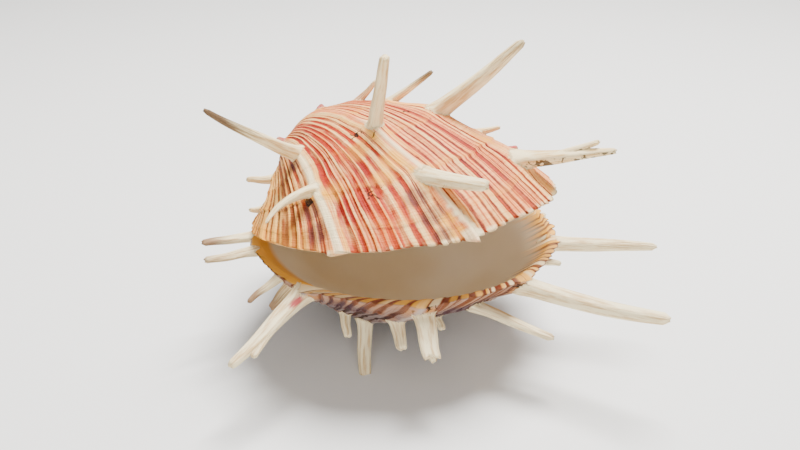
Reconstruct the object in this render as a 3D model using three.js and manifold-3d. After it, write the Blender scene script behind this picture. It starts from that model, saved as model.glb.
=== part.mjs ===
import * as THREE from 'three';
import { mergeVertices } from 'three/addons/utils/BufferGeometryUtils.js';
import Module from 'manifold-3d';

// A gaping spiny oyster shell that stands on its own spines. Millimetres, +Z up.
// The straight hinge line runs along X and the mouth faces -Y.
// Each valve is made dome up in a frame of its own: hinge line on the X axis, margin in the plane z = 0.

// Driving dimensions of the two valves
const marginRadius = 45;
const hingeSetback = 41;      // from the centre of the round margin to the straight hinge line
const gapeDegrees = 11.6;     // how far the upper valve stands open
const hingeGap = 0.5;         // between the two hinge lines
const restHeight = 32;        // margin of the lower valve above the surface it stands on
const lipWidth = 2.5;         // from the outer edge of the margin to the edge of the hollow
const hingePlate = 8;         // depth of the flat plate behind the hollow
const clearance = 0.3;        // between pieces that meet

// Ribs: fine ones all round the fan, and a few main ribs that carry the large spines
const fineRibs = 36;
const fineRibHeight = 0.6;
const mainRibHeight = 1.2;
const mainRibWidth = 2.6;
const ribA = 0.714;           // place of a main rib round the fan, from one hinge end (0) to the other (1)
const ribB = 0.57;
const ribC = 0.405;
const marginTooth = 0.7;      // how far a main rib's tooth stands past the margin

// Facets
const columnsPerRib = 2;
const hingeColumns = 6;
const outerRings = 11;
const innerRings = 4;
const spineSides = 6;
const spineSteps = 4;
const smallestGrowth = 0.05;  // size of the first ring at the beak, as a share of the full valve
const deepestGrowth = 0.14;   // the same for the hollow

// Each surface grows from its apex as a coil: it turns as it shrinks, and keeps its shape
const hollowApex = new THREE.Vector3(0, -6, 0.8);
const upperForm = {
  outer: { radius: marginRadius, hingeY: 0, apex: new THREE.Vector3(0, 3, 1), coil: 1 },
  inner: { radius: marginRadius - lipWidth, hingeY: -hingePlate, apex: hollowApex, coil: 0.96 },
  mainRibs: [0.1, 0.25, ribC, ribB, ribA, 0.845],
  marginTeeth: [0.72, 0.572],
};
const lowerForm = {
  outer: { radius: marginRadius, hingeY: 0, apex: new THREE.Vector3(0, 5, 4), coil: 0.88 },
  inner: { radius: marginRadius - lipWidth, hingeY: -hingePlate, apex: hollowApex, coil: 0.88 },
  mainRibs: [0.1, 0.24, 0.375, 0.515, 0.625, 0.72, 0.81, 0.9],
  marginTeeth: [],
};

// Spines. rib: place round the fan. growth: place from the beak (0) to the margin (1). lean: degrees away
// from standing straight off the surface. sway: which way it leans, 0 towards the margin. width and tip:
// across the spine at its root and its end. curl: bow of the spine, positive where the tip bends towards
// the margin. A fork is a second prong that leaves the spine part way along.
const upperSpines = [
  { rib: ribA, growth: 0.55, length: 34, lean: 16, sway: -32, width: 4.4, tip: 1.5, curl: -3.2 },
  { rib: ribA, growth: 0.76, length: 20, lean: 58, sway: -48, width: 4, tip: 1.3, curl: 2.5 },
  { rib: 0.565, growth: 0.62, length: 23.5, lean: 15, sway: 44, width: 4.4, tip: 3, curl: 0 },
  { rib: ribB, growth: 0.82, length: 19.5, lean: 69, sway: 27, width: 5.4, tip: 3.6, curl: 0 },
  { rib: ribC, growth: 0.638, length: 34, lean: 34, sway: 4, width: 6.6, tip: 3.2, curl: -0.5 },
  { rib: ribC, growth: 0.88, length: 28.5, lean: 48, sway: 6, width: 6.8, tip: 2.2, curl: 0,
    fork: { start: 0.35, length: 24.5, lean: 41, sway: 7, width: 3.6, tip: 2 } },
  { rib: ribC, growth: 0.5, length: 16.5, lean: 49, sway: 12, width: 3.2, tip: 1.6, curl: 0 },
  { rib: 0.44, growth: 0.42, length: 9, lean: 48, sway: 15, width: 2.8, tip: 1.4, curl: 0 },
  { rib: 0.34, growth: 0.76, length: 6.5, lean: 50, sway: 3, width: 2.8, tip: 1.6, curl: 0 },
  { rib: 0.845, growth: 0.5, length: 9, lean: 30, sway: -12, width: 2.8, tip: 1.6, curl: 0 },
  { rib: 0.9, growth: 0.8, length: 4, lean: 35, sway: -14, width: 2.4, tip: 1.4, curl: 0 },
  { rib: ribA, growth: 0.34, length: 4, lean: 40, sway: 0, width: 3, tip: 1.8, curl: 0 },
  { rib: 0.52, growth: 0.34, length: 1.8, lean: 40, sway: 0, width: 2.6, tip: 1.8, curl: 0 },
  { rib: 0.34, growth: 0.86, length: 2.5, lean: 40, sway: 0, width: 2.6, tip: 1.8, curl: 0 },
  { rib: 0.25, growth: 0.55, length: 10, lean: 42, sway: 30, width: 3.4, tip: 1.8, curl: 0 },
  { rib: 0.22, growth: 0.84, length: 10, lean: 46, sway: 30, width: 3.6, tip: 2, curl: 1 },
  { rib: 0.1, growth: 0.72, length: 8, lean: 42, sway: 10, width: 3, tip: 1.6, curl: 0 },
];
const lowerSpines = [
  { rib: 0.241, growth: 0.96, length: 30.5, lean: 29, sway: 29, width: 5.2, tip: 2.4, curl: 0,
    fork: { start: 0.4, length: 25, lean: 27, sway: 18, width: 3.4, tip: 1.8 } },
  { rib: 0.217, growth: 0.89, length: 9.5, lean: 26, sway: 17, width: 4, tip: 2.4, curl: 0 },
  { rib: 0.197, growth: 0.97, length: 12, lean: 30, sway: 23, width: 2.6, tip: 1.3, curl: 0 },
  { rib: 0.085, growth: 0.97, length: 16, lean: 50, sway: 24, width: 3.2, tip: 2, curl: 0 },
  { rib: 0.125, growth: 0.98, length: 16.5, lean: 54, sway: 20, width: 3.2, tip: 2, curl: 0 },
  { rib: 0.359, growth: 0.68, length: 17.4, lean: 13, sway: -35, width: 4.4, tip: 3.4, curl: 0 },
  { rib: 0.373, growth: 0.83, length: 10, lean: 23, sway: -13, width: 4.2, tip: 3, curl: 0 },
  { rib: 0.312, growth: 0.75, length: 8, lean: 31, sway: -29, width: 3, tip: 2.2, curl: 0 },
  { rib: 0.384, growth: 0.95, length: 14.5, lean: 19, sway: 4, width: 5.8, tip: 4.8, curl: 0 },
  { rib: 0.44, growth: 0.8, length: 5, lean: 28, sway: 0, width: 3, tip: 2, curl: 0 },
  { rib: 0.475, growth: 0.87, length: 25, lean: 50, sway: -24, width: 4, tip: 2.4, curl: 0 },
  { rib: 0.515, growth: 0.96, length: 43, lean: 51, sway: -13, width: 5, tip: 2.8, curl: 1.5 },
  { rib: 0.625, growth: 0.97, length: 31.5, lean: 52, sway: -5, width: 4.2, tip: 2, curl: 0 },
  { rib: 0.58, growth: 0.96, length: 6, lean: 49, sway: -9, width: 2.8, tip: 1.6, curl: 0 },
  { rib: 0.64, growth: 0.62, length: 15, lean: 11, sway: -21, width: 4.2, tip: 3.2, curl: 0 },
  { rib: 0.7, growth: 0.38, length: 13, lean: 25, sway: 35, width: 4, tip: 3.2, curl: 0 },
  { rib: 0.4, growth: 0.3, length: 7.6, lean: 38, sway: -59, width: 4, tip: 3, curl: 0 },
  { rib: 0.72, growth: 0.94, length: 9, lean: 35, sway: -20, width: 3.6, tip: 2.2, curl: 0 },
  { rib: 0.81, growth: 0.96, length: 15, lean: 46, sway: -8, width: 3.6, tip: 2, curl: 0 },
  { rib: 0.9, growth: 0.95, length: 12, lean: 44, sway: 6, width: 3.2, tip: 1.8, curl: 0 },
];
const spineFlatness = 0.7;    // thickness of a spine as a share of its width
const rootFlare = 1.3;        // width at the root as a share of the spine's width
const rootSink = 0.9;         // how deep the first section lies in the valve
const rootRamp = 0.4;         // shortest run of the root up its rib, as a share of the spine's width

// Hinge: a ligament in a pit of both valves, and two teeth of the lower valve in sockets of the upper one
const hingeSetIn = 3.6;       // from the hinge line to the middle of the teeth and the ligament
const toothSpread = 10;       // from the middle of the hinge to each tooth
const toothSize = new THREE.Vector3(2.8, 2, 2.8);
const ligamentSize = new THREE.Vector3(4, 2, 2.6);

const wasm = await Module();
wasm.setup();
const xAxis = new THREE.Vector3(1, 0, 0);
const yAxis = new THREE.Vector3(0, 1, 0);
const gape = THREE.MathUtils.degToRad(gapeDegrees);
const fanLength = marginRadius * (Math.PI + 2 * Math.asin(hingeSetback / marginRadius));

// A point of the margin: turn 0 to 1 runs round the fan, 1 to 2 comes back along the hinge line.
function outlinePoint(surface, turn) {
  const rise = Math.asin((hingeSetback + surface.hingeY) / surface.radius);
  if (turn > 1) {
    const halfHinge = surface.radius * Math.cos(rise);
    return new THREE.Vector3(halfHinge * (2 * turn - 3), surface.hingeY, 0);
  }
  const angle = rise - (Math.PI + 2 * rise) * turn;
  return new THREE.Vector3(
    surface.radius * Math.cos(angle),
    surface.radius * Math.sin(angle) - hingeSetback,
    0,
  );
}

// A point of the smooth surface: the margin shrunk towards the apex and turned about the hinge direction.
function grownPoint(surface, turn, growth) {
  return outlinePoint(surface, turn)
    .sub(surface.apex)
    .applyAxisAngle(xAxis, surface.coil * Math.log(growth))
    .multiplyScalar(growth)
    .add(surface.apex);
}

// Point, outward direction, direction of growth and direction across the rib.
function surfaceFrame(surface, turn, growth) {
  const step = 1e-3;
  const point = grownPoint(surface, turn, growth);
  const onward = grownPoint(surface, turn, growth + step).sub(point);
  const speed = onward.length() / step;
  onward.normalize();
  const around = grownPoint(surface, turn + step, growth).sub(grownPoint(surface, turn - step, growth));
  const outward = around.cross(onward).normalize();
  const across = outward.clone().cross(onward);
  return { point, outward, onward, across, speed };
}

// How much of a main rib there is at a place: 1 on the crest of one, falling to 0 between them.
function ribShare(ribs, turn, growth) {
  const away = ribs.map((rib) => ((turn - rib) * fanLength * growth) / mainRibWidth);
  return away.reduce((sum, steps) => sum + Math.exp(-steps * steps), 0);
}

// Height of the ribs above the smooth surface.
function ribRelief(form, turn, growth) {
  if (turn > 1) return 0;
  const fine = fineRibHeight * Math.cos(2 * Math.PI * fineRibs * turn);
  return (fine + mainRibHeight * ribShare(form.mainRibs, turn, growth)) * growth;
}

// Growth of the margin, which runs on into a tooth at the end of some main ribs.
function marginGrowth(form, turn) {
  const reach = marginRadius + hingeSetback;
  return 1 + (marginTooth / reach) * ribShare(form.marginTeeth, turn, 1);
}

// A closed skin over a row of rings, with a point at each end.
function closedSkin(rings, firstPole, lastPole) {
  const count = rings[0].length;
  const points = [firstPole, ...rings.flat(), lastPole];
  const last = points.length - 1;
  const index = [];
  for (let ring = 0; ring < rings.length - 1; ring += 1) {
    for (let side = 0; side < count; side += 1) {
      const next = (side + 1) % count;
      const near = 1 + ring * count;
      const far = near + count;
      index.push(near + side, near + next, far + side, near + next, far + next, far + side);
    }
  }
  for (let side = 0; side < count; side += 1) {
    const next = (side + 1) % count;
    index.push(0, 1 + next, 1 + side);
    index.push(last, last - count + side, last - count + next);
  }
  const geometry = new THREE.BufferGeometry().setFromPoints(points);
  geometry.setIndex(index);
  return geometry;
}

function middleOf(points) {
  return points.reduce((sum, point) => sum.add(point), new THREE.Vector3()).divideScalar(points.length);
}

function solidOf(geometry) {
  const vertProperties = new Float32Array(geometry.getAttribute('position').array);
  const triVerts = new Uint32Array(geometry.getIndex().array);
  return new wasm.Manifold(new wasm.Mesh({ numProp: 3, vertProperties, triVerts }));
}

function geometryOf(solid) {
  const mesh = solid.getMesh();
  const geometry = new THREE.BufferGeometry();
  geometry.setAttribute('position', new THREE.BufferAttribute(mesh.vertProperties, 3));
  geometry.setIndex(new THREE.BufferAttribute(mesh.triVerts, 1));
  geometry.computeVertexNormals();
  return geometry;
}

// The valve without spines: ribbed outside, flat lip and hinge plate, smooth hollow.
function valveBody(form) {
  const fanColumns = fineRibs * columnsPerRib;
  const turns = [];
  for (let column = 0; column <= fanColumns; column += 1) turns.push(column / fanColumns);
  for (let column = 1; column < hingeColumns; column += 1) turns.push(1 + column / hingeColumns);
  const rings = [];
  for (let ring = 0; ring <= outerRings; ring += 1) {
    const share = ring / outerRings;
    rings.push(turns.map((turn) => {
      const end = share === 1 ? marginGrowth(form, turn) : 1;
      const growth = THREE.MathUtils.lerp(smallestGrowth, end, share);
      const { point, outward } = surfaceFrame(form.outer, turn, growth);
      return point.addScaledVector(outward, ribRelief(form, turn, growth));
    }));
  }
  for (let ring = 0; ring <= innerRings; ring += 1) {
    const share = ring / innerRings;
    rings.push(turns.map((turn) => {
      const start = share === 0 ? marginGrowth(form, turn) : 1;
      return grownPoint(form.inner, turn, THREE.MathUtils.lerp(start, deepestGrowth, share));
    }));
  }
  return solidOf(closedSkin(rings, middleOf(rings[0]), middleOf(rings.at(-1))));
}

// Where a spine or a prong ends, and the way it points.
function spineReach(frame, { length, lean, sway }) {
  const leanAngle = THREE.MathUtils.degToRad(lean);
  const swayAngle = THREE.MathUtils.degToRad(sway);
  const direction = frame.outward.clone().multiplyScalar(Math.cos(leanAngle))
    .addScaledVector(frame.onward, Math.sin(leanAngle) * Math.cos(swayAngle))
    .addScaledVector(frame.across, Math.sin(leanAngle) * Math.sin(swayAngle));
  return { direction, end: frame.point.clone().addScaledVector(direction, length) };
}

// A flattened tapering tube along a row of stations, each a place with a width.
function taperedTube(stations, across) {
  const rings = stations.map(({ place, width }, step) => {
    const before = stations[Math.max(step - 1, 0)].place;
    const after = stations[Math.min(step + 1, stations.length - 1)].place;
    const along = after.clone().sub(before).normalize();
    const wide = across.clone().addScaledVector(along, -across.dot(along)).normalize();
    const thick = along.clone().cross(wide);
    const ring = [];
    for (let side = 0; side < spineSides; side += 1) {
      const angle = (2 * Math.PI * side) / spineSides;
      ring.push(place.clone()
        .addScaledVector(wide, (width / 2) * Math.cos(angle))
        .addScaledVector(thick, (width / 2) * spineFlatness * Math.sin(angle)));
    }
    return ring;
  });
  return solidOf(closedSkin(rings, stations[0].place, stations.at(-1).place));
}

// A spine runs up out of its rib, leaves the surface and tapers to a blunt tip.
function spineSolid(surface, spine) {
  const frame = surfaceFrame(surface, spine.rib, spine.growth);
  const { direction, end } = spineReach(frame, spine);
  const ramp = spine.width * (rootRamp + Math.sin(THREE.MathUtils.degToRad(spine.lean)));
  const start = surfaceFrame(surface, spine.rib, spine.growth - ramp / frame.speed);
  const bow = frame.onward.clone().addScaledVector(direction, -frame.onward.dot(direction)).normalize();
  const middle = frame.point.clone().lerp(end, 0.5).addScaledVector(bow, -2 * spine.curl);
  const route = new THREE.QuadraticBezierCurve3(frame.point, middle, end);
  const stations = [
    { place: start.point.addScaledVector(start.outward, -rootSink), width: spine.width / 2 },
  ];
  for (let step = 0; step <= spineSteps; step += 1) {
    const share = step / spineSteps;
    const taper = THREE.MathUtils.lerp(spine.width, spine.tip, share);
    stations.push({ place: route.getPoint(share), width: step === 0 ? taper * rootFlare : taper });
  }
  const solid = taperedTube(stations, frame.across);
  if (!spine.fork) return solid;
  const split = route.getPoint(spine.fork.start);
  const prong = [
    { place: split, width: spine.fork.width },
    { place: spineReach(frame, spine.fork).end, width: spine.fork.tip },
  ];
  return solid.add(taperedTube(prong, frame.across));
}

function valveWithSpines(form, spines) {
  return spines.reduce((solid, spine) => solid.add(spineSolid(form.outer, spine)), valveBody(form));
}

// From a valve's own frame to the shell's: the lower valve is turned dome down, the upper one is lifted open.
const lowerPlacing = new THREE.Matrix4().makeRotationAxis(yAxis, Math.PI);
const upperPlacing = new THREE.Matrix4().makeRotationAxis(xAxis, -gape).setPosition(0, 0, hingeGap);

// A solid from a geometry whose facets don't share their corners yet.
function weldedSolid(geometry) {
  geometry.deleteAttribute('normal');
  geometry.deleteAttribute('uv');
  return solidOf(mergeVertices(geometry));
}

// A rounded lump on the hinge, grown by an extra all round, in the frame of the valve with this placing.
function hingeLump(size, side, extra, placing) {
  const lump = new THREE.IcosahedronGeometry(1, 1);
  lump.scale(size.x + extra, size.y + extra, size.z + extra);
  lump.translate(side, -hingeSetIn, 0);
  lump.applyMatrix4(placing.clone().invert());
  return weldedSolid(lump);
}

function hingeTeeth(extra, placing) {
  const left = hingeLump(toothSize, -toothSpread, extra, placing);
  return left.add(hingeLump(toothSize, toothSpread, extra, placing));
}

function ligamentPit(placing) {
  return hingeLump(ligamentSize, 0, clearance, placing);
}

// The feet are worn flat where they stand.
function wornFlat(solid) {
  const reach = 4 * marginRadius;
  const ground = new THREE.BoxGeometry(reach, reach, restHeight);
  ground.translate(0, -hingeSetback, 1.5 * restHeight);
  return solid.subtract(weldedSolid(ground));
}

function piece(name, geometry, color, roughness) {
  const mesh = new THREE.Mesh(geometry, new THREE.MeshStandardMaterial({ color, roughness, metalness: 0 }));
  mesh.name = name;
  return mesh;
}

function upperValve() {
  const solid = valveWithSpines(upperForm, upperSpines)
    .subtract(hingeTeeth(clearance, upperPlacing))
    .subtract(ligamentPit(upperPlacing));
  const mesh = piece('upper_valve', geometryOf(solid), '#e2b098', 0.6);
  mesh.applyMatrix4(upperPlacing);
  return mesh;
}

function lowerValve() {
  const solid = wornFlat(valveWithSpines(lowerForm, lowerSpines))
    .add(hingeTeeth(0, lowerPlacing))
    .subtract(ligamentPit(lowerPlacing));
  const mesh = piece('lower_valve', geometryOf(solid), '#d9c3ad', 0.6);
  mesh.applyMatrix4(lowerPlacing);
  return mesh;
}

function hingeLigament() {
  const solid = hingeLump(ligamentSize, 0, 0, new THREE.Matrix4());
  return piece('hinge_ligament', geometryOf(solid), '#2e1d14', 0.8);
}

// The origin is on the surface that the shell stands on, under the middle of its box.
const shell = new THREE.Group();
shell.add(upperValve(), lowerValve(), hingeLigament());
const box = new THREE.Box3().setFromObject(shell, true);
const middle = box.getCenter(new THREE.Vector3());
shell.position.set(-middle.x, -middle.y, -box.min.z);

export default shell;
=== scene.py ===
import math
import bpy
import numpy as np
from mathutils import Matrix, Vector


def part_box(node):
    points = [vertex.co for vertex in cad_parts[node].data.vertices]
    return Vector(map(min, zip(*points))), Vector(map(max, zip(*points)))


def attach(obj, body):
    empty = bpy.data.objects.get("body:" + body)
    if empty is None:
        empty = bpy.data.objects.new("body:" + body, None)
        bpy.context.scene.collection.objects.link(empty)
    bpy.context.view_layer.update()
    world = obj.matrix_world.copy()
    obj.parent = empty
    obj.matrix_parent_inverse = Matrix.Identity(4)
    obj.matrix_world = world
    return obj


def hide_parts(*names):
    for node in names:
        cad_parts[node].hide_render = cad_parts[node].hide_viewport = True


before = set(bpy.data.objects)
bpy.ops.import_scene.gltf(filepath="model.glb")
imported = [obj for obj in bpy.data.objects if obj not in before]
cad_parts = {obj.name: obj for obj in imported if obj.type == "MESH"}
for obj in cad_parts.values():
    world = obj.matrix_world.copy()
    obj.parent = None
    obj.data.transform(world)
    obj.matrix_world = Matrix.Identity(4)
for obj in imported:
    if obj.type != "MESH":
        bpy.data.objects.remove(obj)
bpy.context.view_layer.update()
mm = 0.001  # the shell is worked out in millimetres and scaled when its meshes are placed
print("frame loaded:", sorted(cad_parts))

# both valves share these, hinge line along X, mouth towards -Y, each valve worked out dome up
shellShape = {
    "marginRadius": 45.0,
    "hingeSetback": 41.0,  # from the centre of the round margin to the straight hinge
    "gape": 11.6,  # degrees
    "hingeGap": 0.5,
    "restHeight": 32.0,  # margin of the lower valve above the floor
    "hingeSetIn": 3.6,
    "toothSpread": 10.0,
    "toothSize": (2.8, 2.0, 2.8),
    "ligamentSize": (4.0, 2.0, 2.6),
    "clearance": 0.3,
    "lumpRings": 12,  # of the hinge teeth and the ligament
    "lumpColumns": 20,
}
# how fine the meshes are
skinGrid = {
    "ribletColumns": 5,
    "hingeColumns": 24,
    "outerRows": 120,
    "lipRows": 8,
    "innerRows": 36,
    "smallestGrowth": 0.05,  # growth runs from 0 at the beak to 1 at the margin
    "deepestGrowth": 0.14,
    "spineSides": 20,
    "spineRings": 34,
}
# relief of both valves
skinForm = {
    "ribletWidths": (0.55, 1.5),  # narrowest and widest, before they are fitted to the fan
    "ribletHeights": (0.55, 1.15),
    "ribletRound": 0.7,  # under 1 gives broad crests and narrow grooves
    "ribletLevel": 0.5,  # share of a crest that lies in the plain surface
    "scallopLevel": 0.6,
    "slantStart": 0.78,  # growth at which the main ribs begin to swerve
    "toothAhead": 0.4,  # a margin tooth is steep ahead and gentle behind
    "toothBehind": 1.2,
    "toothStart": 0.93,  # growth at which the shell begins to rise into a tooth
    "haltFade": 0.022,
    "hingeEase": 0.06,  # shares of the fan over which the relief fades
    "calmEase": 0.08,
    "calmFrill": 0.15,  # what a calm rim keeps of its frill and of its riblets
    "calmRiblet": 0.3,
    "marginWaves": ((0.35, 6.3), (0.2, 17)),  # height and number
    "driftWaves": ((1.0, 2.3, 5), (0.6, 6.1, -9)),  # strength, number along and round
    "shortAt": 0.8,  # where the margin draws back, and how far round
    "shortSpan": 0.09,
    "whiteSmooth": 0.85,  # how far the riblets fade on a white rib
    "swellBehind": 0.5,  # the shell's rise to a spine, in widths of that spine
    "swellSpan": 0.95,
    "chalkShare": 0.9,
    "chalkSpan": 0.6,
    "easeSpan": 0.9,
    "rippleReach": 0.035,
    "lipRound": 0.8,
    "lipInside": (0.15, 0.7),
    "spotLimit": 0.3,  # how far inside the lip a spot can reach
    "apexTurn": 0.5,
}
# how the halts in growth wander round the fan, in the shape and in the paint
haltWander = {"wide": 0.007, "wideTurn": 18.85, "widePlace": 44, "small": 0.004, "smallTurn": 81.7}
# what all spines share, lengths in widths of the spine or shares of its length
spineForm = {
    "rampUpright": 0.5,  # widths that the root starts behind, more if the spine leans
    "rampLeaning": 1.5,
    "sunk": 1.1,  # millimetres
    "leadPoints": 12,
    "pathPoints": 60,
    "easeRounds": 14,
    "flare": 0.45,
    "flatLoss": 0.9,  # a spine that lies flat flares less
    "flatPower": 6,
    "flareSpan": 0.5,
    "startWidth": 0.15,
    "closing": 0.3,  # length of the rounded tip, in widths of the tip
    "forkPoints": 50,
    "forkSunk": 0.5,
    "forkClosing": 0.4,
    "forkBlunt": 0.5,
    "wobble": 0.22,  # millimetres
    "wobbleTurns": (5, 9),
    "flutes": ((0.05, 5), (0.03, 9)),  # depth and number
    "fluteStart": 4,
    "bulge": 0.04,
    "bulgeTurns": (8, 14),
    "phases": (0, 6),
    "gutterAt": 1.5 * math.pi,  # the gutter runs under the spine
    "gutterSpan": 0.5,
    "tornWaves": 3,
    "tornNoise": (-0.6, 0.6),
    "tornStart": 0.86,
    "grainStretch": 0.05,
    "grainShift": 5,  # so that no two spines have the same streaks
    "chalkStart": 0.35,
    "chalkRise": 4,
    "rootSpan": 1.1,
    "stainStart": 0.35,
    "blushRound": 0.3,  # a blush longer than this goes all round
    "blushFocus": 8,
}
joining = {"seamRounds": 6, "easeRounds": 12, "easeShare": 0.6}  # where the spines meet the shell
seedStep = 1000  # keeps the spines of one valve apart from those of the other in the random draws
hingeReach = shellShape["marginRadius"] + shellShape["hingeSetback"]
rimRise = math.asin(shellShape["hingeSetback"] / shellShape["marginRadius"])
fanLength = shellShape["marginRadius"] * (math.pi + 2 * rimRise)
shellFields = ("riblet", "turn", "growth", "mainRib", "white", "inside", "hinge", "spine")
shellFields += ("grime", "crust", "bruiseAndShadow", "amber", "stain", "blush", "root")


def spine(rib, growth, length, lean, sway, width, tip, curl=0.0, fork=None, **look):
    # lean: degrees off the surface's upright, sway: which way it leans, 0 towards the margin
    row = dict(rib=rib, growth=growth, length=length, lean=lean, sway=sway, width=width, tip=tip, curl=curl)
    row.update(fork=fork, ragged=0.2, gutter=0.1, flat=0.78, blunt=0.6, hold=1.2, stain=0.15, grime=0.1)
    row.update(blush=0.0, blushAt=0.2, blushSpan=0.05, blushSide=0.0)
    row.update(look)
    return row


def prong(start, length, lean, sway, width, tip):
    return dict(start=start, length=length, lean=lean, sway=sway, width=width, tip=tip)


def unit(vectors):
    return vectors / np.linalg.norm(vectors, axis=-1, keepdims=True)


def outlinePoints(surface, turn):
    # turn 0 to 1 runs round the fan, 1 to 2 comes back along the hinge line
    radius = surface["radius"]
    rise = math.asin((shellShape["hingeSetback"] + surface["hingeY"]) / radius)
    angle = rise - (math.pi + 2 * rise) * turn
    level = np.zeros_like(turn)
    fan = np.stack([radius * np.cos(angle), radius * np.sin(angle) - shellShape["hingeSetback"], level], -1)
    halfHinge = radius * math.cos(rise)
    back = np.stack([halfHinge * (2 * turn - 3), level + surface["hingeY"], level], -1)
    return np.where((turn > 1)[..., None], back, fan)


def grownPoints(surface, turn, growth):
    # the margin shrunk towards the apex, and turned about the hinge direction as it shrinks
    apex = np.array(surface["apex"])
    x, y, z = np.moveaxis(outlinePoints(surface, turn) - apex, -1, 0)
    angle = surface["coil"] * np.log(growth)
    turned = np.stack([x, y * np.cos(angle) - z * np.sin(angle), y * np.sin(angle) + z * np.cos(angle)], -1)
    return turned * growth[..., None] + apex


def surfaceFrame(surface, turn, growth):
    nudge = 1e-3
    turn = np.asarray(turn, float)
    growth = np.asarray(growth, float)
    point = grownPoints(surface, turn, growth)
    onward = grownPoints(surface, turn, growth + nudge) - point
    speed = np.linalg.norm(onward, axis=-1) / nudge
    onward = unit(onward)
    around = grownPoints(surface, turn + nudge, growth) - grownPoints(surface, turn - nudge, growth)
    outward = unit(np.cross(around, onward))
    return dict(point=point, outward=outward, onward=onward, across=np.cross(outward, onward), speed=speed)


def ribShare(ribs, turn, growth, width, slant):
    # ribs: place round the fan and strength of each
    share = np.zeros_like(turn + growth)
    aside = slant * np.maximum(growth - skinForm["slantStart"], 0)
    for rib, strength in ribs:
        share = share + strength * np.exp(-((turn - rib + aside) * fanLength * growth / width) ** 2)
    return np.where(turn > 1, 0.0, share)


def toothShare(teeth, turn, width):
    # teeth: place round the fan, side that each points to and size, gentle behind and steep ahead
    share = np.zeros_like(turn)
    for place, side, size in teeth:
        away = (turn - place) * fanLength * side
        reach = np.where(away > 0, skinForm["toothAhead"], skinForm["toothBehind"])
        share = share + size * np.exp(-np.abs(away) / (width * reach))
    return np.where(turn > 1, 0.0, share)


def ribletTable(valve):
    # uneven riblets: their edges round the fan, and how tall each one is
    rng = np.random.default_rng(valve["seed"])
    widths = rng.uniform(*skinForm["ribletWidths"], valve["riblets"])
    heights = rng.uniform(*skinForm["ribletHeights"], valve["riblets"] + 1)
    return np.concatenate([[0.0], np.cumsum(widths)]) / widths.sum(), heights


def stepShare(valve, turn, growth):
    # each halt in growth leaves a raised edge that drops to the younger shell
    total = np.zeros_like(turn + growth)
    small = haltWander["small"] * np.sin(haltWander["smallTurn"] * turn)
    for place, height in valve["growthSteps"]:
        wide = haltWander["wide"] * np.sin(haltWander["wideTurn"] * turn + haltWander["widePlace"] * place)
        before = place + wide + small - growth
        fade = np.exp(-np.maximum(before, 0) / skinForm["haltFade"])
        total = total + np.where(before > 0, height * fade, 0.0)
    return np.where(turn > 1, 0.0, total)


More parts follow.
